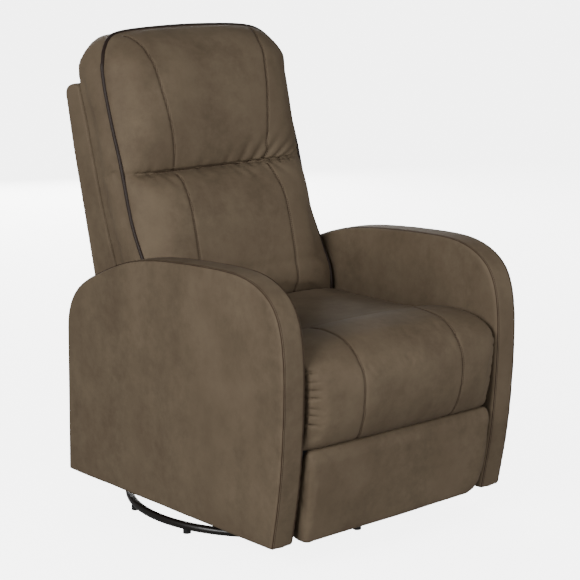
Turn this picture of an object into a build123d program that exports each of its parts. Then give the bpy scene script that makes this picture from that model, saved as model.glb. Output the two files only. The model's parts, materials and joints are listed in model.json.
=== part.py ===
"""Swivel glider recliner with a two-part back, a padded seat, two solid arms and a folding footrest.

Millimetres. +Z is up, the sitter faces -Y, and the sitter's left is +X. The origin is on the floor,
under the middle of the chair's bounding box.
"""
import os
from math import cos, radians, sin

from build123d import *

# overall
WIDTH = 660
ARM_THICK = 62
ARM_IN = WIDTH / 2 - ARM_THICK
SEAT_HALF = 263
PANEL_HALF = 258
BACK_HALF = 256

# ring base and swivel
BASE_Y = 40
RING_R = 314
RING_TUBE_R = 9
RING_Z = 16
FOOT_COUNT = 10
STRAP_WIDTH = 40
STRAP_TOP = 18
PLATE_GAP = 6
PLATE_TOP = STRAP_TOP + 3 + PLATE_GAP + 4
BALL_R = 2.95
PIVOT_BOLT_R = 8

# glide linkage: a parallelogram of four hanging bars
LINK_LENGTH = 100
LINK_SPREAD = 100
LINK_TOP_Z = 142
LINK_BOTTOM_Z = LINK_TOP_Z - LINK_LENGTH
HANGER_X = 120
LINK_X = 126
RAIL_X = 132
FLAT = 4
PIN_R = 4
RUNNING = 0.05

# chassis
CROSS_TUBE = 25
CROSS_TUBE_REACH = 185
SIDE_RAIL_X = 262
TRACK_ANGLE = 12

# seat
SEAT_FRAME_Z = 268
SEAT_FRAME_TOP = 312
SEAT_FRONT_Y = -368
SEAT_REAR_Y = 94
SIDE_PLATE_X = 230

# back
BACK_PIVOT = (150, 302)
BACK_PIN_R = 6
CREASE_Z = 741
PLY = 18

# footrest lazy tongs, folded
TONG_LENGTH = 150
TONG_WIDTH = 14
TONG_THICK = 3
TONG_A_X = 235.5
TONG_B_X = 240
TONG_FOLDED = 84
TONG_OPEN = 6
TONG_TILT = 8
TONG_START = (-268, 222)
TUBE_R = 5
RIVET_R = 3

parts = {}


def keep(name, shape):
    """Keep a finished piece under its own name."""
    parts[name] = shape


def prism(outline, x0, x1):
    """A plate cut to an outline of (y, z) points, between two x positions."""
    face = make_face(Plane.YZ * Polyline(*outline, close=True))
    return extrude(face, x1 - x0, dir=(1, 0, 0)).moved(Location((x0, 0, 0)))


def block(x, y, z):
    """A box between two limits along each axis."""
    size = (x[1] - x[0], y[1] - y[0], z[1] - z[0])
    centre = ((x[0] + x[1]) / 2, (y[0] + y[1]) / 2, (z[0] + z[1]) / 2)
    return Pos(*centre) * Box(*size)


def rod(at, radius, x0, x1):
    """A round bar along X through a (y, z) point."""
    return Pos((x0 + x1) / 2, at[0], at[1]) * Rot(0, 90, 0) * Cylinder(radius, abs(x1 - x0))


def bar(start, end, width, x0, x1):
    """A flat bar with round ends between two (y, z) points."""
    dy = end[0] - start[0]
    dz = end[1] - start[1]
    length = (dy * dy + dz * dz) ** 0.5
    ny = -dz / length * width / 2
    nz = dy / length * width / 2
    outline = [
        (start[0] + ny, start[1] + nz),
        (end[0] + ny, end[1] + nz),
        (end[0] - ny, end[1] - nz),
        (start[0] - ny, start[1] - nz),
    ]
    ends = rod(start, width / 2, x0, x1) + rod(end, width / 2, x0, x1)
    return prism(outline, x0, x1) + ends


def pair(shape):
    """A piece and its mirror image, as one group."""
    return Compound(children=[*shape.solids(), *mirror(shape, Plane.YZ).solids()])


def left_and_right(name, shape):
    """Keep a piece on +X as the left one and its mirror image as the right one."""
    keep(name + "_left", shape)
    keep(name + "_right", mirror(shape, Plane.YZ))


# ---------------------------------------------------------------- ring base and swivel


def ring_base():
    """Steel tube ring with ten plastic feet and a crossed strap that carries the swivel."""
    ring = Pos(0, BASE_Y, RING_Z) * Torus(RING_R, RING_TUBE_R)
    keep("base_ring", ring)
    straps = None
    for angle in (45, -45):
        strap = Pos(0, BASE_Y, STRAP_TOP - 2) * Rot(0, 0, angle) * Box(2 * (RING_R - 5), STRAP_WIDTH, FLAT)
        straps = strap if straps is None else straps + strap
    keep("base_spider", straps - rod_z(PIVOT_BOLT_R, 0, 40))
    feet = []
    for k in range(FOOT_COUNT):
        angle = radians(360 * (k + 0.5) / FOOT_COUNT)
        foot = Pos(RING_R * cos(angle), BASE_Y + RING_R * sin(angle), 6) * Cylinder(9, 12)
        feet += (foot - ring).solids()
    keep("foot_caps", Compound(children=feet))


def rod_z(radius, z0, z1):
    """A round bar along the swivel axis."""
    return Pos(0, BASE_Y, (z0 + z1) / 2) * Cylinder(radius, z1 - z0)


def swivel():
    """Two pressed plates with a ball race between them, on one pivot bolt."""
    low = STRAP_TOP
    keep("swivel_lower_plate", rod_z(80, low, low + 3) - rod_z(PIVOT_BOLT_R, 0, 40))
    balls = []
    for k in range(16):
        angle = radians(360 * k / 16)
        balls.append(Pos(65 * cos(angle), BASE_Y + 65 * sin(angle), low + 3 + PLATE_GAP / 2) * Sphere(BALL_R))
    keep("bearing_balls", Compound(children=balls))
    upper = block((-HANGER_X, HANGER_X), (BASE_Y - 80, BASE_Y + 80), (PLATE_TOP - FLAT, PLATE_TOP))
    keep("swivel_upper_plate", upper - rod_z(PIVOT_BOLT_R + RUNNING, 0, 60))
    bolt = rod_z(PIVOT_BOLT_R, 10, 38) + rod_z(14, 9, 14) + rod_z(14, PLATE_TOP + 0.2, 38)
    keep("swivel_pivot_bolt", bolt)


# ---------------------------------------------------------------- glide linkage


def glide():
    """Two hangers on the swivel plate carry four bars that hang down to the chassis rails."""
    hanger = block((HANGER_X, HANGER_X + FLAT), (BASE_Y - 118, BASE_Y + 118), (PLATE_TOP - FLAT, 157))
    rail_y = (BASE_Y - CROSS_TUBE_REACH - 13, BASE_Y + CROSS_TUBE_REACH + 13)
    rail = block((RAIL_X, RAIL_X + FLAT), rail_y, (34, 60))
    top_pins = []
    low_pins = []
    for name, y in (("front", BASE_Y - LINK_SPREAD), ("rear", BASE_Y + LINK_SPREAD)):
        top = (y, LINK_TOP_Z)
        low = (y, LINK_BOTTOM_Z)
        link = bar(top, low, 24, LINK_X, LINK_X + FLAT)
        for end in (top, low):
            link -= rod(end, PIN_R + RUNNING, LINK_X - 1, LINK_X + FLAT + 1)
        left_and_right("glide_link_" + name, link)
        hanger -= rod(top, PIN_R, HANGER_X - 1, HANGER_X + FLAT + 1)
        rail -= rod(low, PIN_R, RAIL_X - 1, RAIL_X + FLAT + 1)
        top_pins += [rod(top, PIN_R, HANGER_X, LINK_X + FLAT + 1)]
        low_pins += [rod(low, PIN_R, LINK_X - 1, RAIL_X + FLAT)]
    left_and_right("glide_hanger", hanger)
    left_and_right("glide_rail", rail)
    keep("hanger_pins", pair(Compound(children=top_pins)))
    keep("rail_pins", pair(Compound(children=low_pins)))


# ---------------------------------------------------------------- chassis and arms


def chassis():
    """Steel cross tubes and side rails join the glide rails to both arms."""
    for name, y in (("front", BASE_Y - CROSS_TUBE_REACH), ("rear", BASE_Y + CROSS_TUBE_REACH)):
        half = CROSS_TUBE / 2
        outer = block((-SIDE_RAIL_X, SIDE_RAIL_X), (y - half, y + half), (60, 60 + CROSS_TUBE))
        inner = block((-SIDE_RAIL_X, SIDE_RAIL_X), (y - half + 2, y + half - 2), (62, 58 + CROSS_TUBE))
        keep("cross_tube_" + name, outer - inner)
    left_and_right("side_rail", block((SIDE_RAIL_X, SIDE_RAIL_X + 3), (-240, 330), (58, 232)))
    keep("rear_panel", block((-ARM_IN + 1, ARM_IN - 1), (332, 346), (56, 225)))
    track = Pos(SIDE_RAIL_X - 6, 0, 214) * Rot(-TRACK_ANGLE, 0, 0) * Box(12, 240, 20)
    left_and_right("seat_track", track)


def arm_outline(scale):
    """The arm's side outline: a sloping foot, a leaning front and a long falling top."""
    foot_front = (-382, 60)
    foot_rear = (362, 44)
    curve = [
        foot_front, (-402, 165), (-420, 373), (-417, 477), (-387, 562), (-330, 599), (-209, 611),
        (-71, 603), (117, 573), (231, 529), (316, 477), (345, 430), (353, 386),
    ]
    middle = ((foot_front[0] + foot_rear[0]) / 2, (foot_front[1] + foot_rear[1]) / 2)
    points = [(middle[0] + (y - middle[0]) * scale, middle[1] + (z - middle[1]) * scale) for y, z in curve + [foot_rear]]
    edge = Spline(*points[:-1], tangents=[(-20, 105), (2, -60)], tangent_scalars=[1, 1])
    return make_face(Plane.YZ * (edge + Polyline(points[-2], points[-1], points[0])))


def arms():
    """Each arm is an open timber frame inside a padded cover that is open at the foot."""
    pad = 6
    board = extrude(arm_outline(0.975), ARM_THICK - 2 * pad, dir=(1, 0, 0)).moved(Location((ARM_IN + pad, 0, 0)))
    whole = extrude(arm_outline(1), ARM_THICK, dir=(1, 0, 0)).moved(Location((ARM_IN, 0, 0)))
    window = extrude(arm_outline(0.86), ARM_THICK, dir=(1, 0, 0)).moved(Location((ARM_IN, 0, 35)))
    left_and_right("arm_frame", board - window)
    left_and_right("arm_cover", whole - board)


# ---------------------------------------------------------------- seat


def seat():
    """Timber seat frame with webbing, on two steel side plates that slide on the tracks."""
    z = (SEAT_FRAME_Z, SEAT_FRAME_TOP)
    inner = SIDE_PLATE_X + FLAT
    left_and_right("seat_rail", block((inner, PANEL_HALF), (SEAT_FRONT_Y + 28, SEAT_REAR_Y), z))
    keep("seat_rail_front", block((-PANEL_HALF, PANEL_HALF), (SEAT_FRONT_Y, SEAT_FRONT_Y + 28), z))
    keep("seat_rail_rear", block((-SIDE_PLATE_X, SIDE_PLATE_X), (SEAT_REAR_Y - 22, SEAT_REAR_Y), z))
    straps = []
    for x in range(-180, 181, 90):
        strap_y = (SEAT_FRONT_Y + 2, SEAT_REAR_Y - 2)
        straps.append(block((x - 25, x + 25), strap_y, (SEAT_FRAME_TOP, SEAT_FRAME_TOP + 2)))
    keep("seat_webbing", Compound(children=straps))
    runner = prism([(-70, 205), (70, 205), (70, SEAT_FRAME_Z), (-70, SEAT_FRAME_Z)], 244.5, 249.5)
    left_and_right("seat_runner", runner)
    keep("seat_cushion", seat_cushion())


def seat_cushion():
    """One long pad: a full front roll that drops over the frame, and a flatter rear part."""
    top = [(-428, 440), (-391, 460), (-327, 468), (-270, 464), (-200, 452), (0, 450), (SEAT_REAR_Y, 448)]
    under = [(SEAT_REAR_Y, 315), (-372, 315), (-372, 266)]
    nose = [(-400, 266), (-425, 280), (-443, 322), (-448, 370), (-446, 404)]
    return prism(top + under + nose, -SEAT_HALF, SEAT_HALF)


def seat_side_plates():
    """Each plate holds the back pivot, the footrest tube and the slot for the first crossed bar."""
    outline = [
        (-302, 62), (-276, 62), (-250, 205), (-235, 245), (120, 245), (168, 275), (168, 322),
        (128, 322), (120, SEAT_FRAME_TOP), (-302, SEAT_FRAME_TOP),
    ]
    plate = prism(outline, SIDE_PLATE_X, SIDE_PLATE_X + FLAT)
    plate -= rod(TONG_START, TUBE_R + RUNNING, SIDE_PLATE_X - 1, SIDE_PLATE_X + FLAT + 1)
    plate -= rod(BACK_PIVOT, BACK_PIN_R, SIDE_PLATE_X - 1, SIDE_PLATE_X + FLAT + 1)
    slot = [slide_point(TONG_FOLDED), slide_point(TONG_OPEN)]
    plate -= bar(slot[0], slot[1], 2 * RIVET_R + 0.4, SIDE_PLATE_X - 1, SIDE_PLATE_X + FLAT + 1)
    left_and_right("seat_side_plate", plate)
    keep("back_pivot_pins", pair(rod(BACK_PIVOT, BACK_PIN_R, 222, SIDE_PLATE_X + FLAT)))


# ---------------------------------------------------------------- back


def back():
    """Two plywood sides, cut as wedges, with rails, webbing, a rear panel and two stuffed pads."""
    front = [(178, 272), (263, 537), (311, 662), (337, 749), (394, 925)]
    rear = [(431, 924), (448, 908), (420, 780), (385, 644), (348, 500), (290, 262)]
    left_and_right("back_side", prism(front + rear, BACK_HALF - PLY, BACK_HALF))
    inside = BACK_HALF - PLY
    panel_rear = [(290, 262), (348, 500), (385, 644), (420, 780), (448, 908)]
    panel_front = [(y - 8, z) for y, z in reversed(panel_rear)]
    keep("back_panel", prism(panel_rear + panel_front, -inside, inside))
    keep("back_rail_top", block((-inside, inside), (396, 426), (880, 905)))
    bracket = back_bracket()
    left_and_right("back_bracket", bracket)
    rail = block((-inside, inside), (205, 275), (285, 305))
    keep("back_rail_bottom", rail - bracket - mirror(bracket, Plane.YZ))
    bands = [webbing_band(front[1:], z, inside) for z in (570, 630, 700, 800, 870)]
    keep("back_webbing", Compound(children=bands))
    keep("lumbar_pad", prism(lumbar_outline(), -PANEL_HALF, PANEL_HALF))
    keep("headrest_pad", prism(headrest_outline(), -PANEL_HALF + 2, PANEL_HALF - 2))


def webbing_band(line, z, reach):
    """One elastic band across the back, on the slope of the frame's front edge."""
    for (y0, z0), (y1, z1) in zip(line, line[1:]):
        if z0 <= z <= z1:
            slope = (y1 - y0) / (z1 - z0)
            y = y0 + slope * (z - z0)
    low = (y - 25 * slope, z - 25)
    high = (y + 25 * slope, z + 25)
    outline = [(low[0] - 1, low[1]), (high[0] - 1, high[1]), (high[0] + 1, high[1]), (low[0] + 1, low[1])]
    return prism(outline, -reach, reach)


def back_bracket():
    """Steel plate from the back pivot up to the bottom rail and side."""
    outline = [(128, 290), (150, 276), (235, 268), (262, 285), (262, 330), (215, 330), (150, 326), (130, 316)]
    plate = prism(outline, 224, 228)
    return plate - rod(BACK_PIVOT, BACK_PIN_R + RUNNING, 220, 230)


def lumbar_outline():
    """Lower back pad, behind the seat cushion at its foot and under the headrest at its top."""
    front = [(103, 432), (100, 470), (101, 512), (106, 543), (124, 619), (142, 669), (170, 716), (196, CREASE_Z - 2)]
    rear = [(330, CREASE_Z - 2), (307, 662), (259, 537), (222, 432)]
    return front + rear


def headrest_outline():
    """Upper back pad, which overhangs the lower one and tops the chair."""
    front = [(221, CREASE_Z), (209, 779), (206, 829), (212, 872), (224, 917), (243, 970), (272, 1015), (300, 1040)]
    rear = [(345, 1054), (374, 1040), (393, 1001), (396, 930), (390, 925), (333, CREASE_Z)]
    return front + rear


# ---------------------------------------------------------------- footrest


def along(angle):
    """Unit (y, z) direction of a tong bar at an angle above the tilted reach line."""
    turn = radians(TONG_TILT + angle)
    return (-cos(turn), sin(turn))


def step(start, direction, length):
    """The (y, z) point a length along a direction."""
    return (start[0] + direction[0] * length, start[1] + direction[1] * length)


def slide_point(angle):
    """Where the first rising bar's foot sits in its slot when the tongs stand at an angle."""
    return step(TONG_START, along(-90), TONG_LENGTH * sin(radians(angle)))


def pierced(shape, points, radius):
    """A tong bar with round holes at (y, z) points."""
    for point in points:
        shape -= rod(point, radius, TONG_A_X - 2, TONG_B_X + 5)
    return shape


def footrest():
    """Lazy tongs on each side: two falling bars, two rising bars and a bracket for the panel."""
    falling = along(-TONG_FOLDED)
    rising = along(TONG_FOLDED)
    middle = step(TONG_START, falling, TONG_LENGTH / 2)
    low_1 = step(TONG_START, falling, TONG_LENGTH)
    slide = step(middle, rising, -TONG_LENGTH / 2)
    high_1 = step(middle, rising, TONG_LENGTH / 2)
    high_2 = step(low_1, rising, TONG_LENGTH)
    middle_2 = step(low_1, rising, TONG_LENGTH / 2)
    low_2 = step(middle_2, falling, TONG_LENGTH / 2)
    a = (TONG_A_X, TONG_A_X + TONG_THICK)
    b = (TONG_B_X, TONG_B_X + TONG_THICK)
    loose = RIVET_R + RUNNING

    first = pierced(bar(TONG_START, low_1, TONG_WIDTH, *a), [TONG_START], TUBE_R)
    first = pierced(first, [middle, low_1], RIVET_R)
    keep("tong_first_falling", pair(first))
    keep("footrest_torque_tube", rod(TONG_START, TUBE_R, -a[1], a[1]))
    keep("tong_rivets_first", pair(Compound(children=[rod(p, RIVET_R, a[0], b[1]) for p in (middle, low_1)])))

    keep("tong_first_rising", pair(slotted_bar(slide, high_1, middle, b, loose)))
    ends = [rod(slide, RIVET_R, SIDE_PLATE_X, b[1]), rod(high_1, RIVET_R, a[0], b[1])]
    keep("tong_rivets_rising", pair(Compound(children=ends)))

    second = pierced(bar(low_1, high_2, TONG_WIDTH, *b), [low_1], loose)
    keep("tong_second_rising", pair(pierced(second, [middle_2, high_2], RIVET_R)))
    rivets = [rod(p, RIVET_R, a[0], b[1]) for p in (middle_2, high_2)]
    keep("tong_rivets_second", pair(Compound(children=rivets)))

    last = pierced(bar(high_1, low_2, TONG_WIDTH, *a), [high_1], RIVET_R + 0.1)
    keep("tong_second_falling", pair(pierced(last, [middle_2], loose)))

    bracket = bar(high_2, step(high_2, falling, 60), TONG_WIDTH, *a)
    bracket += prism([(-306, 226), (-376, 230), (-376, 110), (-320, 165)], *a)
    keep("footrest_brackets", pair(pierced(bracket, [high_2], loose)))
    keep("footrest_board", block((-PANEL_HALF + 10, PANEL_HALF - 10), (-390, -376), (84, 232)))
    keep("footrest_pad", footrest_pad())


def slotted_bar(slide, high, middle, x, loose):
    """The first rising bar: its foot slides in the side plate and its middle turns on the first bar."""
    whole = bar(slide, high, TONG_WIDTH, *x)
    return pierced(pierced(whole, [slide, high], RIVET_R), [middle], loose)


def footrest_pad():
    """Front panel pad, wrapped round the board's edges."""
    outline = [
        (-408, 259), (-416, 254), (-420, 240), (-416, 170), (-408, 95), (-402, 70),
        (-392, 67), (-372, 72), (-372, 84), (-390, 84), (-390, 232), (-372, 232), (-372, 236),
    ]
    return prism(outline, -PANEL_HALF, PANEL_HALF)


ring_base()
swivel()
glide()
chassis()
arms()
seat()
seat_side_plates()
back()
footrest()

os.makedirs("parts", exist_ok=True)
for node, shape in parts.items():
    export_step(shape, f"parts/{node}.step")
print(len(parts), "pieces")
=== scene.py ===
"""A compact swivel glider recliner in brown suede-finish upholstery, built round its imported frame.

Metres, +Z up, the sitter faces -Y and the sitter's right is -X. The sections follow the chair as it is
put together: base, mechanism, arms, back, seat and footrest.
"""
import json
from math import cos, pi, radians, sin

import bmesh
import bpy
import numpy as np
from mathutils import Euler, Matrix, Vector
from mathutils.bvhtree import BVHTree
from mathutils.kdtree import KDTree


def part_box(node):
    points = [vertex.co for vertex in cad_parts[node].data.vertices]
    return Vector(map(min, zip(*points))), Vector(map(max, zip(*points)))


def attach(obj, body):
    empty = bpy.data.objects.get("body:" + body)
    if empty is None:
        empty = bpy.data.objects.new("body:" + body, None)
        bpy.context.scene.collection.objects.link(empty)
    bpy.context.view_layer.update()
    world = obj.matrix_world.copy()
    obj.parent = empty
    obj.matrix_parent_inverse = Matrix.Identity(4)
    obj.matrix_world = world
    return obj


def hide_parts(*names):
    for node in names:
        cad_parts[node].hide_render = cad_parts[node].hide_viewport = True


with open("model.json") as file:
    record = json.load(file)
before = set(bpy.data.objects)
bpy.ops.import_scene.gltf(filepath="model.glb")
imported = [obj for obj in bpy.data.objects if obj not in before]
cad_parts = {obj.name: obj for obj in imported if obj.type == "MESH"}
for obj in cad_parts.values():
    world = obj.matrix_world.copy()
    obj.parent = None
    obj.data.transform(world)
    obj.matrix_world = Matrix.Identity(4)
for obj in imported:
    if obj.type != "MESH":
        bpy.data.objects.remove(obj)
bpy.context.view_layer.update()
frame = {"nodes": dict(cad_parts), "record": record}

MM = 0.001

# ------------------------------------------------------------------ room
# A white studio cove: a self-lit pale floor and wall, a wide soft box at the sitter's right, a weaker fill
# in front and one behind, so one broad highlight draws the leather's shape and no shadow is hard.

camera = bpy.data.objects.new("camera", bpy.data.cameras.new("camera"))
bpy.context.scene.collection.objects.link(camera)
camera.data.lens = 109.875
camera.data.sensor_width = 36
camera.location = (-2.43936, -2.98263, 1.34732)
camera.rotation_euler = Euler((radians(90 - 12.616), 0, radians(-39.712)))
bpy.context.scene.camera = camera


def linear(code):
    """A hex colour as the linear RGBA values that a shader takes."""
    shares = [int(code[i:i + 2], 16) / 255 for i in (1, 3, 5)]
    return tuple(v / 12.92 if v <= 0.04045 else ((v + 0.055) / 1.055) ** 2.4 for v in shares) + (1.0,)


def add(material, kind, settings=None, links=None):
    """Add a shader node, set its inputs or properties, and join inputs, by name or number, to other nodes."""
    node = material.node_tree.nodes.new(kind)
    for name, value in (settings or {}).items():
        if name in node.inputs:
            node.inputs[name].default_value = value
        else:
            setattr(node, name, value)
    for name, (source, output) in (links or {}).items():
        material.node_tree.links.new(source.outputs[output], node.inputs[name])
    return node


def new_material(name):
    """An empty node material and its output node."""
    material = bpy.data.materials.new(name)
    material.use_nodes = True
    material.node_tree.nodes.clear()
    return material, add(material, "ShaderNodeOutputMaterial")


def finish(material, output, shader, socket="BSDF"):
    """Join the last shader to the material's output."""
    material.node_tree.links.new(shader.outputs[socket], output.inputs["Surface"])


# matt white emulsion paint, lit from within so that it stays an even pale ground
painted_floor, out = new_material("painted_studio_floor")
paint = add(painted_floor, "ShaderNodeBsdfPrincipled",
            {"Base Color": linear("#FAFAF9"), "Roughness": 0.9, "Emission Color": linear("#FFFFFF"),
             "Emission Strength": 5.0})
finish(painted_floor, out, paint)

# the floor is a wide disc that turns up into a white wall all round; neither lights nor shades the chair
rim = [(cos(k * pi / 24), sin(k * pi / 24)) for k in range(48)]
cove = [(x * r, y * r, z) for r, z in ((60.0, 0.0), (66.0, 8.0), (66.0, 60.0)) for x, y in rim]
walls = [(r * 48 + k, r * 48 + (k + 1) % 48, r * 48 + 48 + (k + 1) % 48, r * 48 + 48 + k)
         for r in range(2) for k in range(48)]
floor_mesh = bpy.data.meshes.new("studio_floor")
floor_mesh.from_pydata(cove, [], [tuple(range(48))] + walls)
floor_mesh.materials.append(painted_floor)
floor = bpy.data.objects.new("studio_floor", floor_mesh)
bpy.context.scene.collection.objects.link(floor)
floor.visible_diffuse = False
floor.visible_glossy = False
floor.visible_shadow = False


def soft_box(name, place, aim, size, watts):
    """A square area light at a place, turned to face a point."""
    data = bpy.data.lights.new(name, "AREA")
    data.shape = "SQUARE"
    data.size = size
    data.energy = watts
    light = bpy.data.objects.new(name, data)
    light.location = place
    light.rotation_euler = (Vector(aim) - Vector(place)).to_track_quat("-Z", "Y").to_euler()
    bpy.context.scene.collection.objects.link(light)


soft_box("key_light", (-3.5, -0.9, 1.8), (0, 0, 0.6), 1.9, 144)
soft_box("front_fill", (0.1, -4.2, 1.5), (0, 0, 0.6), 2.2, 108)
soft_box("rear_fill", (2.0, 4.0, 1.5), (0, 0, 0.6), 2.4, 170)
world = bpy.data.worlds.new("white_room")
world.use_nodes = True
world.node_tree.nodes["Background"].inputs["Color"].default_value = (1, 1, 1, 1)
world.node_tree.nodes["Background"].inputs["Strength"].default_value = 0.26
bpy.context.scene.world = world

# ------------------------------------------------------------------ ring base and mechanism
# The ring is 18 mm steel tube, bent, welded and powder coated black; the feet are pushed-on polypropylene.
# The swivel, glide and footrest parts are pressed steel strip, e-coated dark grey, on zinc-plated rivets.

# baked black powder: a half gloss with a faint orange peel
powder_coat, out = new_material("powder_coated_steel")
orange_peel = add(powder_coat, "ShaderNodeTexNoise", {"Scale": 700.0, "Detail": 2.0})
bump = add(powder_coat, "ShaderNodeBump", {"Strength": 0.12, "Distance": 0.0002},
           {"Height": (orange_peel, "Fac")})
coat = add(powder_coat, "ShaderNodeBsdfPrincipled", {"Base Color": linear("#120D0A"), "Roughness": 0.34},
           {"Normal": (bump, "Normal")})
finish(powder_coat, out, coat)

# a thin dipped grey coat over rolled strip: even and dull, slightly mottled
e_coat, out = new_material("e_coated_strip_steel")
mottle = add(e_coat, "ShaderNodeTexNoise", {"Scale": 60.0, "Detail": 5.0})
grey = add(e_coat, "ShaderNodeMix", {"data_type": "RGBA"}, {"Factor": (mottle, "Fac")})
grey.inputs["A"].default_value = linear("#232426")
grey.inputs["B"].default_value = linear("#34363A")
coat = add(e_coat, "ShaderNodeBsdfPrincipled", {"Roughness": 0.45, "Metallic": 0.3},
           {"Base Color": (grey, "Result")})
finish(e_coat, out, coat)

# bright plated zinc: pale metal whose gloss varies a little
zinc, out = new_material("zinc_plated_steel")
spangle = add(zinc, "ShaderNodeTexNoise", {"Scale": 250.0, "Detail": 3.0})
rough = add(zinc, "ShaderNodeMapRange", {"To Min": 0.25, "To Max": 0.42}, {"Value": (spangle, "Fac")})
plate = add(zinc, "ShaderNodeBsdfPrincipled", {"Base Color": linear("#B9BABB"), "Metallic": 1.0},
            {"Roughness": (rough, "Result")})
finish(zinc, out, plate)

# black plastic from a spark-textured mould: a soft satin
polypropylene, out = new_material("moulded_polypropylene")
texture = add(polypropylene, "ShaderNodeTexNoise", {"Scale": 1500.0, "Detail": 1.0})
bump = add(polypropylene, "ShaderNodeBump", {"Strength": 0.2, "Distance": 0.0002},
           {"Height": (texture, "Fac")})
plastic = add(polypropylene, "ShaderNodeBsdfPrincipled", {"Base Color": linear("#0C0C0C"), "Roughness": 0.5},
              {"Normal": (bump, "Normal")})
finish(polypropylene, out, plastic)


def cells(size):
    """Noise cells per metre for a pattern of a real size in millimetres."""
    return 1 / (size * MM)


def bands(size):
    """Wave texture scale for bands of a real spacing in millimetres."""
    return 2 * pi / 20 / (size * MM)


# planed and unvarnished beech: streaks of figure about 71 mm long in X and 6 mm wide
figure_length, figure_ratio = 71, 12.0
beech, out = new_material("planed_beech")
place = add(beech, "ShaderNodeTexCoord")
stretch = add(beech, "ShaderNodeMapping", {"Scale": (1.0, figure_ratio, figure_ratio)},
              {"Vector": (place, "Object")})
grain = add(beech, "ShaderNodeTexNoise", {"Scale": cells(figure_length), "Detail": 6.0},
            {"Vector": (stretch, "Vector")})
tone = add(beech, "ShaderNodeValToRGB", {}, {"Fac": (grain, "Fac")})
tone.color_ramp.elements[0].color = linear("#A57F55")
tone.color_ramp.elements[1].color = linear("#CDAA7C")
wood = add(beech, "ShaderNodeBsdfPrincipled", {"Roughness": 0.6}, {"Base Color": (tone, "Color")})
finish(beech, out, wood)

# woven rubber-cored webbing, its ribs about 2 mm apart
rib_spacing = 1.96
webbing, out = new_material("woven_elastic_webbing")
place = add(webbing, "ShaderNodeTexCoord")
weave = add(webbing, "ShaderNodeTexWave", {"Scale": bands(rib_spacing), "Distortion": 0.5},
            {"Vector": (place, "Object")})
tone = add(webbing, "ShaderNodeValToRGB", {}, {"Fac": (weave, "Fac")})
tone.color_ramp.elements[0].color = linear("#1B1B1B")
tone.color_ramp.elements[1].color = linear("#3A3836")
band = add(webbing, "ShaderNodeBsdfPrincipled", {"Roughness": 0.85}, {"Base Color": (tone, "Color")})
finish(webbing, out, band)

finishes = {"black_steel": powder_coat, "dark_steel": e_coat, "zinc_steel": zinc,
            "black_plastic": polypropylene, "timber": beech, "webbing": webbing}
for part in frame["record"]["subparts"]:
    if part["material_slot"] in finishes:
        mesh = frame["nodes"][part["node"]].data
        mesh.materials.clear()
        mesh.materials.append(finishes[part["material_slot"]])

# ------------------------------------------------------------------ upholstery leather
# Polyurethane-faced bonded leather with a brushed suede finish: nearly matt, cloudy where the nap lies
# differently, with faint darker smears down the hide and a grain of about 1 mm pebbles.

cloud_size = 111
smear_width, smear_length = 111, 588
blotch_size = 21.7
pebble_size = 1.11
nap_size = 3.85
leather, out = new_material("brushed_suede_polyurethane")
place = add(leather, "ShaderNodeTexCoord")
cloud = add(leather, "ShaderNodeTexNoise", {"Scale": cells(cloud_size), "Detail": 7.0, "Roughness": 0.62},
            {"Vector": (place, "Object")})
tone = add(leather, "ShaderNodeValToRGB", {}, {"Fac": (cloud, "Fac")})
tone.color_ramp.elements[0].position = 0.36
tone.color_ramp.elements[0].color = linear("#5A4D3D")
tone.color_ramp.elements[1].position = 0.64
tone.color_ramp.elements[1].color = linear("#645746")
smear_scale = (cells(smear_width), cells(smear_width), cells(smear_length))
hang = add(leather, "ShaderNodeMapping", {"Scale": smear_scale}, {"Vector": (place, "Object")})
smear = add(leather, "ShaderNodeTexNoise", {"Scale": 1.0, "Detail": 2.0, "Roughness": 0.5},
            {"Vector": (hang, "Vector")})
blotch = add(leather, "ShaderNodeTexNoise", {"Scale": cells(blotch_size), "Detail": 6.0, "Roughness": 0.65},
             {"Vector": (place, "Object")})
rubbed = add(leather, "ShaderNodeMath", {"operation": "MULTIPLY"}, {0: (smear, "Fac"), 1: (blotch, "Fac")})
veil = add(leather, "ShaderNodeValToRGB", {}, {"Fac": (rubbed, "Value")})
veil.color_ramp.elements[0].position = 0.20
veil.color_ramp.elements[0].color = linear("#FFFFFF")
veil.color_ramp.elements[1].position = 0.40
veil.color_ramp.elements[1].color = linear("#EAE9E8")
colour = add(leather, "ShaderNodeMix", {"data_type": "RGBA", "blend_type": "MULTIPLY", "Factor": 1.0},
             {"A": (tone, "Color"), "B": (veil, "Color")})
pebble = add(leather, "ShaderNodeTexVoronoi", {"Scale": cells(pebble_size)}, {"Vector": (place, "Object")})
nap = add(leather, "ShaderNodeTexNoise", {"Scale": cells(nap_size), "Detail": 4.0},
          {"Vector": (place, "Object")})
fine = add(leather, "ShaderNodeBump", {"Strength": 0.10, "Distance": 0.0003},
           {"Height": (pebble, "Distance")})
soft = add(leather, "ShaderNodeBump", {"Strength": 0.18, "Distance": 0.0006},
           {"Height": (nap, "Fac"), "Normal": (fine, "Normal")})
rough = add(leather, "ShaderNodeMapRange", {"To Min": 0.70, "To Max": 0.84}, {"Value": (cloud, "Fac")})
hide = add(leather, "ShaderNodeBsdfPrincipled", {"Specular IOR Level": 0.25},
           {"Base Color": (colour, "Result"), "Roughness": (rough, "Result"), "Normal": (soft, "Normal")})
finish(leather, out, hide)

# ------------------------------------------------------------------ arms
# Each arm is an open timber frame wrapped in thin foam and hide: an outer panel, an inner panel and one
# long band over the front and top. The band's edges are seamed and topstitched close to the corners.


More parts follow.
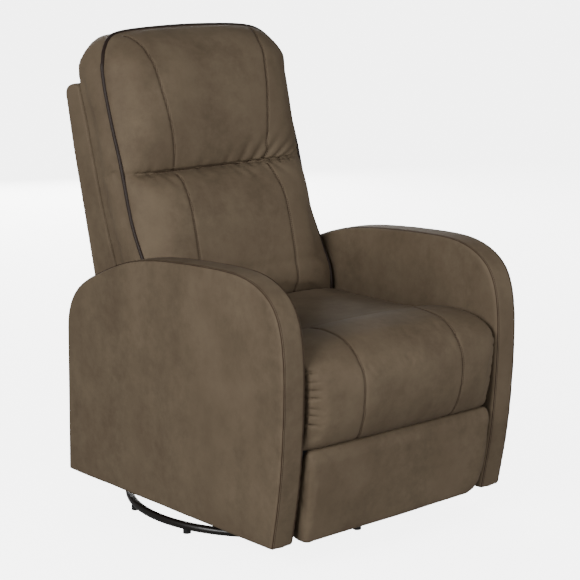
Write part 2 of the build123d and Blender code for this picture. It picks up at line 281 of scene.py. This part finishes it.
def even(points, count, closed=False):
    """Points spaced evenly along a line."""
    points = np.asarray(points, float)
    if closed:
        points = np.vstack([points, points[:1]])
    run = np.r_[0, np.cumsum(np.linalg.norm(np.diff(points, axis=0), axis=1))]
    stops = np.linspace(0, run[-1], count, endpoint=not closed)
    return np.column_stack([np.interp(stops, run, points[:, k]) for k in range(points.shape[1])])


def bend(a, b, c, d):
    """Points of a smooth curve from b to c, aimed by the neighbours a and d."""
    t = np.linspace(0, 1, 24, endpoint=False)[:, None]
    return 0.5 * (2 * b + (c - a) * t + (2 * a - 5 * b + 4 * c - d) * t ** 2
                  + (3 * b - a - 3 * c + d) * t ** 3)


def flowing(points, count):
    """A smooth line through listed points, spaced evenly."""
    p = np.asarray(points, float)
    p = np.vstack([2 * p[0] - p[1], p, 2 * p[-1] - p[-2]])
    return even(np.vstack([bend(*four) for four in zip(p, p[1:], p[2:], p[3:])] + [p[-2:-1]]), count)


def closed_form(name, rows, first, last):
    """A mesh from rows of points, each row a closed ring, with both ends closed to a first and last point."""
    rows = [np.asarray(r, float) for r in rows]
    count = len(rows[0])
    points = np.vstack(rows + [np.asarray([first]), np.asarray([last])])
    faces = []
    for r in range(len(rows) - 1):
        for k in range(count):
            n = (k + 1) % count
            faces.append((r * count + k, r * count + n, (r + 1) * count + n, (r + 1) * count + k))
    top = len(rows) * count
    end = (len(rows) - 1) * count
    for k in range(count):
        n = (k + 1) % count
        faces.append((n, k, top))
        faces.append((end + k, end + n, top + 1))
    mesh = bpy.data.meshes.new(name)
    mesh.from_pydata(points.tolist(), [], faces)
    piece = bpy.data.objects.new(name, mesh)
    bpy.context.scene.collection.objects.link(piece)
    turn = bmesh.new()
    turn.from_mesh(mesh)
    bmesh.ops.recalc_face_normals(turn, faces=turn.faces)
    turn.to_mesh(mesh)
    turn.free()
    return piece


def settle(piece):
    """Keep the mesh that a piece's modifiers give, and take the modifiers off."""
    bpy.context.view_layer.update()
    shaped = bpy.data.meshes.new_from_object(piece.evaluated_get(bpy.context.evaluated_depsgraph_get()))
    piece.modifiers.clear()
    piece.data = shaped


def places(piece):
    """Vertex positions and normals of a piece as arrays."""
    mesh = piece.data
    at = np.empty(len(mesh.vertices) * 3)
    mesh.vertices.foreach_get("co", at)
    out_of = np.empty(len(mesh.vertices) * 3)
    mesh.vertex_normals.foreach_get("vector", out_of)
    return at.reshape(-1, 3), out_of.reshape(-1, 3)


def move_to(piece, at):
    """Put a piece's vertices at new positions."""
    piece.data.vertices.foreach_set("co", np.ascontiguousarray(at, float).ravel())
    piece.data.update()


def even_mesh(piece, voxel):
    """Give a piece a new mesh of even faces."""
    remesh = piece.modifiers.new("even_mesh", "REMESH")
    remesh.mode = "VOXEL"
    remesh.voxel_size = voxel
    settle(piece)


def relax(piece):
    """Smooth the steps that an even mesh leaves."""
    smooth = piece.modifiers.new("relax", "SMOOTH")
    smooth.factor = 0.5
    smooth.iterations = 3
    settle(piece)


FILL_FRAMES = 20


def blow_up(piece, voxel, pressure, cap, held=None, reach=16 * MM):
    """Remesh a pad evenly, then let cloth pressure fill its cover, no further than cap from where it was.

    Points near the held lines, where the cover is sewn or stapled down, stay where they are.
    """
    even_mesh(piece, voxel)
    start, _ = places(piece)
    cloth = piece.modifiers.new("cover", "CLOTH")
    cloth.settings.use_pressure = True
    cloth.settings.uniform_pressure_force = pressure
    cloth.settings.effector_weights.gravity = 0
    cloth.settings.quality = 4
    cloth.settings.tension_stiffness = 25
    cloth.settings.bending_stiffness = 1.5
    cloth.point_cache.frame_start = 1
    cloth.point_cache.frame_end = FILL_FRAMES
    for step in range(1, FILL_FRAMES + 1):
        bpy.context.scene.frame_set(step)
    settle(piece)
    bpy.context.scene.frame_set(1)
    full, _ = places(piece)
    shift = full - start
    far = np.linalg.norm(shift, axis=1, keepdims=True)
    shift *= np.minimum(1, cap / np.maximum(far, 1e-9))
    if held is not None:
        tree = search_tree(held)
        away = np.array([tree.find(point)[2] for point in start])
        shift *= (1 - np.exp(-(away / reach) ** 2))[:, None]
    move_to(piece, start + shift)
    fine = piece.modifiers.new("finer", "SUBSURF")
    fine.levels = 1
    fine.render_levels = 1
    settle(piece)


def skin_of(piece):
    """A piece's faces, ready to be searched for the nearest spot."""
    mesh = piece.data
    return BVHTree.FromPolygons([v.co for v in mesh.vertices], [p.vertices for p in mesh.polygons])


def search_tree(points):
    """Points ready to be searched for the nearest one."""
    tree = KDTree(len(points))
    for k, point in enumerate(points):
        tree.insert(point, k)
    tree.balance()
    return tree


def sew(piece, line, width, depth):
    """Draw the cover in along a seam line."""
    at, out_of = places(piece)
    line = even(line, max(8, int(np.linalg.norm(np.diff(line, axis=0), axis=1).sum() / (1.5 * MM))))
    tree = search_tree(line)
    low = line.min(axis=0) - 4 * width
    high = line.max(axis=0) + 4 * width
    near = np.where(((at > low) & (at < high)).all(axis=1))[0]
    for k in near:
        distance = tree.find(at[k])[2]
        at[k] -= out_of[k] * depth * np.exp(-(distance / width) ** 2)
    move_to(piece, at)


def topstitch(name, piece, line, offsets, thread, pitch=4.6 * MM):
    """Rows of thread beads beside a seam line, lying on the cover."""
    surface = skin_of(piece)
    length = np.linalg.norm(np.diff(line, axis=0), axis=1).sum()
    stops = even(line, int(length / pitch))
    bead_points = []
    bead_faces = []
    radius = 0.5 * MM
    # each bead's shape: (share of its length, share of its radius)
    shape = [(-0.36, 0.35), (-0.30, 1.0), (0.30, 1.0), (0.36, 0.35)]
    for a, b in zip(stops, stops[1:]):
        along = Vector(b - a).normalized()
        for offset in offsets:
            spot, normal, _, _ = surface.find_nearest(Vector((a + b) / 2))
            if spot is None:
                continue
            side = normal.cross(along).normalized()
            spot, normal, _, _ = surface.find_nearest(spot + side * offset)
            side = normal.cross(along).normalized()
            base = len(bead_points)
            for share, girth in shape:
                for k in range(6):
                    around = side * cos(k * pi / 3) + normal * sin(k * pi / 3)
                    bead_points.append(spot + along * share * pitch * 1.1 + around * radius * girth
                                       + normal * 0.1 * MM)
            for r in range(3):
                for k in range(6):
                    n = (k + 1) % 6
                    bead_faces.append((base + r * 6 + k, base + r * 6 + n, base + r * 6 + 6 + n,
                                       base + r * 6 + 6 + k))
            bead_faces.append(tuple(base + k for k in reversed(range(6))))
            bead_faces.append(tuple(base + 18 + k for k in range(6)))
    mesh = bpy.data.meshes.new(name)
    mesh.from_pydata([tuple(p) for p in bead_points], [], bead_faces)
    mesh.materials.append(thread)
    mesh.shade_smooth()
    beads = bpy.data.objects.new(name, mesh)
    bpy.context.scene.collection.objects.link(beads)
    return beads


def upholster(piece, body, fill, *nodes):
    """Give a finished pad its hide and its body, and hide the CAD solids that it covers."""
    piece.data.materials.clear()
    piece.data.materials.append(leather)
    piece.data.shade_smooth()
    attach(piece, body)
    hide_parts(*nodes)


def trim(piece, body):
    """Thread and cord ride with the cover that they are sewn to, and so do the dark cords that paint shade
    into its seams.
    """
    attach(piece, body)


# twisted and bonded nylon: a dark matt thread; the same material colours the thin dark cords laid in the
# seams and the back's crease as painted shade
thread_and_seam_shade, out = new_material("nylon_thread_and_painted_seam_shade")
twist = add(thread_and_seam_shade, "ShaderNodeTexWave", {"Scale": 420.0})
bump = add(thread_and_seam_shade, "ShaderNodeBump", {"Strength": 0.3, "Distance": 0.0002}, {"Height": (twist, "Fac")})
filament = add(thread_and_seam_shade, "ShaderNodeBsdfPrincipled",
               {"Base Color": linear("#33241A"), "Roughness": 0.7, "Specular IOR Level": 0.2},
               {"Normal": (bump, "Normal")})
finish(thread_and_seam_shade, out, filament)


def tube(name, line, radius, material, sides=12):
    """A round cord along a line of points."""
    line = np.asarray(line)
    ahead = np.gradient(line, axis=0)
    ahead /= np.linalg.norm(ahead, axis=1, keepdims=True)
    side = np.cross(ahead, (0.31, 0.83, 0.46))
    for k in range(1, len(side)):
        side[k] = side[k - 1] - ahead[k] * np.dot(side[k - 1], ahead[k])
        side[k] /= np.linalg.norm(side[k])
    side[0] /= np.linalg.norm(side[0])
    up = np.cross(side, ahead)
    turns = 2 * pi * np.arange(sides) / sides
    rows = [p + radius * (np.outer(np.cos(turns), s) + np.outer(np.sin(turns), u))
            for p, s, u in zip(line, side, up)]
    piece = closed_form(name, rows, line[0], line[-1])
    piece.data.materials.append(material)
    piece.data.shade_smooth()
    return piece


def seam_shade_cord(name, piece, line, body, radius=0.9 * MM, on_skin=True):
    """A thin dark cord sunk along a seam or the back's crease: painted shade, standing in for the shade in
    the groove where two panels of hide are joined.
    """
    skin = skin_of(piece)
    laid = []
    for point in even(line, int(np.linalg.norm(np.diff(line, axis=0), axis=1).sum() / (3 * MM))):
        spot, normal, _, _ = skin.find_nearest(Vector(point))
        laid.append(np.array(spot) - 0.1 * MM * np.array(normal) if on_skin else point)
    laid = np.array(laid)
    laid[1:-1] = (laid[:-2] + 2 * laid[1:-1] + laid[2:]) / 4
    trim(tube(name, laid, radius, thread_and_seam_shade, 8), body)


def node_outline(node, axis_face):
    """The (y, z) outline of a plate-like CAD node, read from its outermost face."""
    mesh = frame["nodes"][node].data
    points = np.array([v.co for v in mesh.vertices])
    face = points[np.abs(points[:, 0] - axis_face) < 0.05 * MM][:, 1:]
    middle = (face.max(axis=0) + face.min(axis=0)) / 2
    rim = face[np.argsort(np.arctan2(face[:, 1] - middle[1], face[:, 0] - middle[0]))]
    keep = np.r_[True, np.linalg.norm(np.diff(rim, axis=0), axis=1) > 0.2 * MM]
    return rim[keep]


def inset(outline, distance):
    """A closed outline moved inwards, by a distance or by one distance for each point."""
    ahead = np.roll(outline, -1, axis=0) - np.roll(outline, 1, axis=0)
    ahead /= np.linalg.norm(ahead, axis=1, keepdims=True)
    inward = np.column_stack([-ahead[:, 1], ahead[:, 0]])
    middle = outline.mean(axis=0)
    if ((middle - outline) * inward).sum() < 0:
        inward = -inward
    return outline + inward * np.reshape(distance, (-1, 1))


def above(ring, height):
    """The part of a closed ring above a height, as one open line."""
    ring = np.roll(ring, -int(np.argmin(ring[:, 2])), axis=0)
    return ring[ring[:, 2] > height]


arm_crown = 2.5 * MM
for side_name, hand in (("left", 1), ("right", -1)):
    low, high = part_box("arm_cover_" + side_name)
    inner_x, outer_x = sorted((abs(low[0]), abs(high[0])))
    rim = even(node_outline("arm_cover_" + side_name, hand * outer_x), 420, closed=True)
    middle = (rim.max(axis=0) + rim.min(axis=0)) / 2
    thick = outer_x - inner_x

    def arm_ring(x, distance):
        """One ring of the arm's skin, at a distance in from its outline."""
        flat = inset(rim, distance)
        return np.column_stack([np.full(len(flat), hand * x), flat])

    band = [(inner_x + 0.5 * MM, 5.0 * MM), (inner_x + 1.6 * MM, 2.4 * MM), (inner_x + 4 * MM, 1.0 * MM)]
    band += [(inner_x + thick * s, 1.0 * MM - arm_crown * sin(pi * s) * 0.4)
             for s in (0.15, 0.3, 0.5, 0.7, 0.85)]
    band += [(outer_x - 4 * MM, 1.0 * MM), (outer_x - 1.6 * MM, 2.4 * MM), (outer_x - 0.5 * MM, 5.0 * MM)]
    rows = [arm_ring(x, d) for x, d in band]
    shares = (0.97, 0.93, 0.86, 0.75, 0.6, 0.4, 0.2)
    flat_in = inset(rim, 5 * MM)

    def panel_ring(x, share):
        """One ring of an arm's flat side, shrunk towards its middle and slightly crowned."""
        flat = middle + (flat_in - middle) * share
        crown = arm_crown * min(1, (1 - share) * 6)
        return np.column_stack([np.full(len(flat), hand * (x + crown)), flat])

    inner_rows = [panel_ring(inner_x - 0.5 * MM - 2 * arm_crown * min(1, (1 - s) * 6), s)
                  for s in reversed(shares)]
    outer_rows = [panel_ring(outer_x - 0.5 * MM, s) for s in shares]
    first = (hand * (inner_x - arm_crown), middle[0], middle[1])
    last = (hand * (outer_x + arm_crown), middle[0], middle[1])
    arm = closed_form("arm_upholstery_" + side_name, inner_rows + rows + outer_rows, first, last)
    even_mesh(arm, 4 * MM)
    relax(arm)
    for edge, x, inward in (("inner", inner_x, 1), ("outer", outer_x, -1)):
        seam = above(arm_ring(x + inward * 4.5 * MM, 0.8 * MM), low[2] + 4 * MM)
        sew(arm, seam, 2.6 * MM, 1.4 * MM)
        # a thin dark cord sunk in the seam's groove is painted seam shade
        seam_shade_cord(f"arm_seam_{side_name}_{edge}", arm, seam, "chassis")
        row = above(arm_ring(x + inward * 8.0 * MM, 0.8 * MM), low[2] + 8 * MM)
        trim(topstitch(f"arm_topstitch_{side_name}_{edge}", arm, row, (0,), thread_and_seam_shade), "chassis")
    upholster(arm, "chassis", 0.9, "arm_cover_" + side_name, "arm_frame_" + side_name)

# ------------------------------------------------------------------ back
# Headrest and lumbar pad share one stuffed cover: a deep tacked crease parts them, a dark welt cord runs
# round the front edge, and one plain boxing strip joins the cord to the plywood wedge behind.

welt_half = 252 * MM
# (y, z) of the welt cord up the side of the back, then (x, y, z) over its rounded top corner
welt_side = [(109, 420), (107, 455), (115, 492), (135, 527), (185, 615), (207, 672), (236, 768), (264, 844),
             (289, 922), (299, 972)]
welt_top = [(252, 299, 972), (248, 302, 984), (237, 314, 1007), (214, 330, 1031), (184, 341, 1042),
            (120, 344, 1048), (0, 345, 1051)]
# (y, z) of the cover's rear edge, up the wedge and then up the headrest's own back
boxing_rear = [(222, 420), (263, 537), (311, 662), (368, 850), (390, 915), (397, 950), (397, 978),
               (391, 1030), (384, 1042), (368, 1048), (350, 1051)]
# (y, z) of how far the front stands out from the welt, below and above the crease
front_fullness = [(2, 415), (4, 430), (13, 456), (27, 512), (41, 543), (66, 619), (68, 672), (52, 714),
                  (24, 736), (-12, 742), (20, 748), (35, 770), (57, 829), (69, 905), (64, 965), (50, 1015),
                  (38, 1033), (22, 1045), (8, 1051)]
crease_z = 742 * MM


def reading(points):
    """Depth y as a function of height z along a listed (y, z) line."""
    line = flowing(points, 400) * MM
    return lambda z: np.interp(z, line[:, 1], line[:, 0])


welt_y = reading(welt_side + [(y, z) for _, y, z in welt_top[1:]])
rear_y = reading(boxing_rear)
bulge = reading(front_fullness)


def half_width(z):
    """Half the back's width at a height: straight sides and rounded top corners."""
    line = flowing([(x, z) for x, _, z in welt_top], 200) * MM
    return float(np.where(z < line[0, 1], welt_half, np.interp(z, line[:, 1], line[:, 0])))


def back_ring(z):
    """One level ring of the back's cover: its crowned front, then boxing, flat rear and boxing again."""
    half = max(half_width(z), 2 * MM)
    across = np.sin(np.linspace(-pi / 2, pi / 2, 150))
    full = np.sqrt(1 - np.abs(across) ** 5)
    rolled = 10 * MM * np.exp(-np.maximum(z - crease_z, 0) / (22 * MM)) * (z > crease_z)
    front = np.column_stack([across * half, welt_y(z) - bulge(z) * full, z - rolled * full])
    t = np.linspace(0, 1, 24)[1:]
    y = welt_y(z) * (1 - t) + rear_y(z) * t
    boxing = np.column_stack([half + 5 * MM * np.sin(pi * t), y, np.full(len(t), z)])
    rear_x = np.linspace(half, -half, 60)[1:-1]
    rear = np.column_stack([rear_x, np.full(len(rear_x), rear_y(z)), np.full(len(rear_x), z)])
    return np.vstack([front, boxing, rear, (boxing * (-1, 1, 1))[::-1]])


left_welt = [(welt_half / MM, y, z) for y, z in welt_side[:-1]] + welt_top
welt_line = flowing(left_welt + [(-x, y, z) for x, y, z in left_welt[::-1][1:]], 700) * MM
rear_edge = [(hand * welt_half, rear_y(z), z) for hand in (-1, 1) for z in np.linspace(424, 1030, 150) * MM]
levels = np.r_[np.arange(424, 728, 4), np.arange(728, 760, 1), np.arange(760, 1030, 4),
               np.arange(1030, 1051.5, 1)] * MM
rows = [back_ring(z) for z in levels]
back_pad = closed_form("back_upholstery", rows, rows[0].mean(axis=0), rows[-1].mean(axis=0))
blow_up(back_pad, 4.5 * MM, 4, 5 * MM, np.vstack([welt_line, rear_edge]))


def laid_on(piece, points, count=160):
    """A line through listed points in millimetres, laid on the piece's skin."""
    skin = skin_of(piece)
    return np.array([skin.find_nearest(Vector(p))[0] for p in flowing(points, count) * MM])


# the crease is tacked through to the frame
at, out_of = places(back_pad)
tacked = np.clip(1 - (np.abs(at[:, 0]) / (236 * MM)) ** 10, 0, 1) * (out_of[:, 1] < 0.35) * (at[:, 1] < 0.26)
at[:, 1] += 9 * MM * tacked * np.exp(-((at[:, 2] - 741 * MM) / (3.4 * MM)) ** 2)
move_to(back_pad, at)


def gather(piece, z_seam, reach, rise, folds):
    """Gathered folds that run out of a seam at a height, each (x, lean, length, depth, width) in mm."""
    at, out_of = places(piece)
    height = (at[:, 2] - z_seam) * rise / MM
    facing = np.clip(-out_of[:, 1] * 1.6, 0, 1)
    for x, lean, length, depth, width in folds:
        away = np.clip(height, 0, None)
        line_x = x + lean * away
        fade = np.exp(-(away / length) ** 2) * (height > -reach)
        across = (at[:, 0] / MM - line_x) / (width * (1 + away / length))
        at -= out_of * (depth * MM * fade * facing * np.exp(-across ** 2))[:, None]
    move_to(piece, at)


gather(back_pad, crease_z - 4 * MM, 3, 1,
       [(-222, 0.3, 26, 1.2, 6), (-196, 0.25, 26, 2.0, 6), (-150, 0.1, 20, 2.0, 6), (-60, 0.3, 30, 1.8, 8),
        (10, 0.5, 45, 2.4, 7), (52, 0.55, 60, 3.6, 7), (88, 0.7, 66, 5.0, 8), (118, 0.9, 55, 4.5, 7),
        (150, 1.2, 44, 5.5, 6), (176, 1.9, 36, 6.0, 6), (205, 2.2, 28, 4.5, 5)])
gather(back_pad, crease_z - 3 * MM, 1, -1,
       [(-212, 0.5, 24, 1.8, 8), (-190, 0.3, 30, 2.6, 8), (-165, 0.8, 34, 2.0, 8), (-60, 0.4, 30, 1.5, 10),
        (30, 0.6, 40, 2.0, 10), (60, 0.7, 46, 2.4, 9), (110, 0.6, 40, 2.4, 9), (150, 0.7, 40, 2.4, 9)])

# a dark cord laid along the bottom of the crease is painted shade for the crease's deep shadow
crease_y = float(welt_y(crease_z)) / MM + 4
crease = laid_on(back_pad, [(x, crease_y, 741) for x in (-208, -120, 0, 120, 224)], 200)
crease[:, 1] += 6 * MM * np.clip((np.abs(crease[:, 0]) - 185 * MM) / (30 * MM), 0, 1)
seam_shade_cord("crease_painted_shade_cord", back_pad, crease, "back", 1.1 * MM, False)

# the twin-stitched seams, as (x, y, z) down the pads on the sitter's left; the right ones mirror them
headrest_seam = [(182, 316, 1046), (176, 300, 1041), (163, 268, 1012), (161, 255, 992), (155, 243, 970),
                 (148, 224, 917), (141, 212, 872), (136, 206, 829), (133, 209, 779), (132, 218, 750)]
lumbar_seam = [(131, 195, 738), (130, 170, 716), (134, 142, 669), (135, 124, 619), (136, 106, 543),
               (136, 95, 456), (136, 97, 434)]
seam_gap = 2.9 * MM
for label, seam in (("headrest", headrest_seam), ("lumbar", lumbar_seam)):
    for side_name, hand in (("left", 1), ("right", -1)):
        path = laid_on(back_pad, [(hand * x, y, z) for x, y, z in seam])
        sew(back_pad, path, 5 * MM, 0.9 * MM)
        sew(back_pad, path, 2.2 * MM, 1.5 * MM)
        # a fine dark cord sunk in each seam is painted shade for its groove
        seam_shade_cord(f"{label}_seam_{side_name}", back_pad, path, "back", 0.42 * MM)
        rows_of_thread = topstitch(f"{label}_topstitch_{side_name}", back_pad, path, (-seam_gap, seam_gap),
                                   thread_and_seam_shade)
        trim(rows_of_thread, "back")
upholster(back_pad, "back", 0.85, "headrest_pad", "lumbar_pad")

# a smoother and darker polyurethane skin drawn tight over a cord, so it shines a little more than the hide
welt_vinyl, out = new_material("dark_welt_cord_polyurethane")
grain = add(welt_vinyl, "ShaderNodeTexNoise", {"Scale": 500.0, "Detail": 3.0})
bump = add(welt_vinyl, "ShaderNodeBump", {"Strength": 0.15, "Distance": 0.0003}, {"Height": (grain, "Fac")})
cord_skin = add(welt_vinyl, "ShaderNodeBsdfPrincipled",
                {"Base Color": linear("#22160F"), "Roughness": 0.55, "Specular IOR Level": 0.3},
                {"Normal": (bump, "Normal")})
finish(welt_vinyl, out, cord_skin)

welt_line[:, 0] *= (welt_half + 1 * MM) / welt_half
welt = tube("back_welt_cord", welt_line, 4.3 * MM, welt_vinyl)
trim(welt, "back")

# ------------------------------------------------------------------ outside back
# The wedge behind the pads is plywood, wrapped in the same hide: two side panels and one rear panel,
# seamed along their long edges and closed with a plain fold at the top.

_, shell_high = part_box("back_side_left")
shell_x = shell_high[0] + 1 * MM
shell_front = [(180, 272), (263, 537), (311, 662), (337, 749), (368, 850), (392, 922)]
shell_top = [(400, 928), (418, 929), (436, 925), (446, 916), (449, 904)]
shell_rear = [(422, 780), (386, 644), (349, 500), (291, 262)]
shell_foot = [(240, 256), (186, 262)]
shell_rim = even(np.array(shell_front + shell_top + shell_rear + shell_foot) * MM, 360, closed=True)


def shell_ring(x, distance, share=1.0):
    """One ring of the wedge's cover."""
    flat = inset(shell_rim, distance)
    flat = flat * share + (1 - share) * np.column_stack([np.interp(flat[:, 1], (0.262, 0.93), (0.24, 0.42)),
                                                         flat[:, 1] * 0.9 + 0.062])
    return np.column_stack([np.full(len(flat), x), flat])


rows = [shell_ring(-shell_x + 0.5 * MM, 5 * MM, s) for s in (0.1, 0.4, 0.8, 0.95)]
for x, d in ((-shell_x + 0.5 * MM, 4 * MM), (-shell_x + 2 * MM, 1.5 * MM), (-shell_x + 6 * MM, 0.5 * MM)):
    rows.append(shell_ring(x, d))
for x in np.linspace(-shell_x + 20 * MM, shell_x - 20 * MM, 9):
    rows.append(shell_ring(x, 0))
for x, d in ((shell_x - 6 * MM, 0.5 * MM), (shell_x - 2 * MM, 1.5 * MM), (shell_x - 0.5 * MM, 4 * MM)):
    rows.append(shell_ring(x, d))
rows += [shell_ring(shell_x - 0.5 * MM, 5 * MM, s) for s in (0.95, 0.8, 0.4, 0.1)]
shell = closed_form("outside_back_upholstery", rows, rows[0].mean(axis=0), rows[-1].mean(axis=0))
even_mesh(shell, 4 * MM)
relax(shell)
upholster(shell, "back", 0.9, "back_side_left", "back_side_right", "back_panel", "back_rail_top",
          "back_rail_bottom", "back_webbing")

# ------------------------------------------------------------------ seat
# One long foam pad in a sewn cover: a full front roll with two twin-stitched seams falls over the frame,
# a cross seam closes it, and a flatter part runs back under the lumbar pad.

_, seat_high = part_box("seat_cushion")
seat_half = seat_high[0]
# (y, z) round the pad, in the middle and where it meets the arms
seat_mid = [(60, 320), (-368, 318), (-388, 260), (-408, 260), (-426, 278), (-443, 322), (-449, 370),
            (-446, 402), (-428, 444), (-391, 466), (-327, 476), (-280, 473), (-255, 466), (-200, 460),
            (20, 453), (88, 450), (94, 420)]
seat_side = [(60, 320), (-368, 318), (-380, 260), (-397, 260), (-410, 283), (-421, 323), (-430, 402),
             (-424, 424), (-409, 440), (-372, 455), (-318, 460), (-251, 452), (-196, 442), (-90, 438),
             (20, 434), (88, 432), (94, 410)]


def rounded(points, count):
    """A closed smooth outline through listed points in millimetres."""
    p = np.asarray(points, float)
    fours = zip(np.roll(p, 1, axis=0), p, np.roll(p, -1, axis=0), np.roll(p, -2, axis=0))
    return even(np.vstack([bend(*four) for four in fours]), count, closed=True) * MM


mid_line = rounded(seat_mid, 400)
side_line = rounded(seat_side, 400)
seat_centre = np.array([-0.17, 0.375])
x_end = seat_half - 1.0 * MM
rows = []
for share in np.linspace(-1, 1, 61):
    lean = abs(share) ** 3.5
    line = mid_line * (1 - lean) + side_line * lean
    tuck = 1 - 0.022 * abs(share) ** 30
    ring = seat_centre + (line - seat_centre) * tuck
    rows.append(np.column_stack([np.full(400, share * x_end), ring]))
caps = [seat_centre + (rows[0][:, 1:] - seat_centre) * share for share in (0.9, 0.6, 0.3)]
rows = [np.column_stack([np.full(400, -x_end), c]) for c in reversed(caps)] + rows \
    + [np.column_stack([np.full(400, x_end), c]) for c in caps]
seat_pad = closed_form("seat_upholstery", rows, (-x_end, *seat_centre), (x_end, *seat_centre))
blow_up(seat_pad, 5 * MM, 4, 4 * MM)

# from the sitter's right to the middle; the other half mirrors it
cross_seam = [(-262, -196, 444), (-225, -228, 455), (-185, -252, 465), (-145, -268, 472), (-70, -259, 474),
              (0, -255, 474)]
path = laid_on(seat_pad, cross_seam + [(-x, y, z) for x, y, z in cross_seam[-2::-1]], 300)
sew(seat_pad, path, 12 * MM, 4 * MM)
sew(seat_pad, path, 3 * MM, 3 * MM)
# a fine dark cord sunk in the cross seam is painted shade for its groove
seam_shade_cord("seat_cross_seam", seat_pad, path, "seat", 0.35 * MM)
roll_seam = [(145, -268, 472), (143, -300, 476), (141, -340, 474), (140, -391, 464), (139, -428, 444),
             (138, -446, 404), (138, -449, 370), (137, -443, 322), (134, -425, 280), (131, -408, 270)]
for side_name, hand in (("left", 1), ("right", -1)):
    path = laid_on(seat_pad, [(hand * x, y, z) for x, y, z in roll_seam], 200)
    sew(seat_pad, path, 6 * MM, 1.0 * MM)
    sew(seat_pad, path, 2.2 * MM, 1.6 * MM)
    # a fine dark cord sunk in each roll seam is painted shade for its groove
    seam_shade_cord(f"seat_seam_{side_name}", seat_pad, path, "seat", 0.42 * MM)
    rows_of_thread = topstitch(f"seat_topstitch_{side_name}", seat_pad, path, (-seam_gap, seam_gap),
                               thread_and_seam_shade)
    trim(rows_of_thread, "seat")

# puckers where the roll is drawn in at its ends, deeper at the sitter's right
at, out_of = places(seat_pad)
for side, size, first, last, count in ((-1, 11.0, 318, 424, 7), (1, 3.5, 330, 420, 5)):
    inward = np.clip((side * at[:, 0] - (seat_half - 30 * MM)) / (30 * MM), 0, 1)
    front = np.clip(-out_of[:, 1] * 1.4, 0, 1) * (at[:, 1] < -0.36)
    height = at[:, 2] / MM
    for k, z in enumerate(np.linspace(first, last, count)):
        lean = (0.35 * (k - count / 2)) * (1 - inward) * 5
        pucker = np.exp(-((height - z - lean - 2 * sin(2.4 * k)) / 2.6) ** 2)
        at -= out_of * (inward ** 1.4 * front * size * (0.75 + 0.25 * cos(1.9 * k)) * MM * pucker)[:, None]
move_to(seat_pad, at)
upholster(seat_pad, "seat", 0.8, "seat_cushion")

# ------------------------------------------------------------------ footrest
# A board with a thin foam wrap, covered in hide that is stapled behind. Its lower corners are tucked round,
# and at both ends the hide runs further back than it does along the board.

foot_low, foot_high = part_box("footrest_pad")
# (x, z) outline: the hide is folded sharply at the sitter's right lower corner and fuller at the left one
foot_rim = [(-256, 256), (-250, 262), (0, 263), (248, 262), (255, 255), (258, 225), (258, 158), (254, 125),
            (243, 90), (230, 74), (212, 66), (0, 62), (-236, 62), (-250, 61), (-257, 67), (-258, 90),
            (-258, 225)]
foot_rim = even(np.array(foot_rim) * MM, 300, closed=True)
foot_middle = np.array([0, (foot_low[2] + foot_high[2]) / 2])
face_y = reading([(-401, 62), (-406, 90), (-414, 150), (-419, 215), (-420, 240), (-412, 262)])


def foot_ring(share, depth):
    """A ring of the footrest's cover: depth 0 on its face, 1 at its back."""
    flat = foot_middle + (foot_rim - foot_middle) * share
    front = face_y(flat[:, 1])
    rear = np.interp(flat[:, 1], (0.225, 0.26), (-0.374, -0.395))
    side = np.interp(np.abs(flat[:, 0]), (0.228, 0.246), (0, 0.022))
    rear = rear + side * np.interp(flat[:, 1], (0.21, 0.23), (1, 0))
    return np.column_stack([flat[:, 0], front * (1 - depth) + rear * depth, flat[:, 1]])


rows = [foot_ring(s, 0) for s in (0.1, 0.3, 0.5, 0.7, 0.85, 0.93)]
rows += [foot_ring(s, d) for s, d in ((0.975, 0.02), (0.993, 0.09), (1.0, 0.25), (1.0, 0.6), (0.99, 0.9))]
rows += [foot_ring(s, 1) for s in (0.95, 0.7, 0.4, 0.1)]
middle_y = float(face_y(foot_middle[1]))
foot_pad = closed_form("footrest_upholstery", rows, (0, middle_y, foot_middle[1]),
                       (0, -0.374, foot_middle[1]))
blow_up(foot_pad, 4 * MM, 2, 1.5 * MM)
upholster(foot_pad, "footrest", 0.85, "footrest_pad", "footrest_board")

# ------------------------------------------------------------------ rear apron
# The low panel between the arms, behind the seat, is board wrapped in the same hide. It is drawn over the
# board's edges and stapled on the inside.

apron_low, apron_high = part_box("rear_panel")
rows = []
for y, distance in ((apron_low[1] + 1 * MM, 6), (apron_low[1] + 1 * MM, 3), (apron_low[1] + 3 * MM, 0.6),
                    (apron_high[1] - 3 * MM, 0.6), (apron_high[1] - 0.5 * MM, 3), (apron_high[1], 6)):
    w, b, t = apron_high[0] - distance * MM, apron_low[2] + distance * MM, apron_high[2] - distance * MM
    ring = even(np.array([(-w, b), (w, b), (w, t), (-w, t)]), 200, closed=True)
    rows.append(np.column_stack([ring[:, 0], np.full(200, y), ring[:, 1]]))
centre_z = (apron_low[2] + apron_high[2]) / 2
apron = closed_form("rear_apron_upholstery", rows, (0, apron_low[1] + 1 * MM, centre_z),
                    (0, apron_high[1], centre_z))
upholster(apron, "chassis", 1.0, "rear_panel")
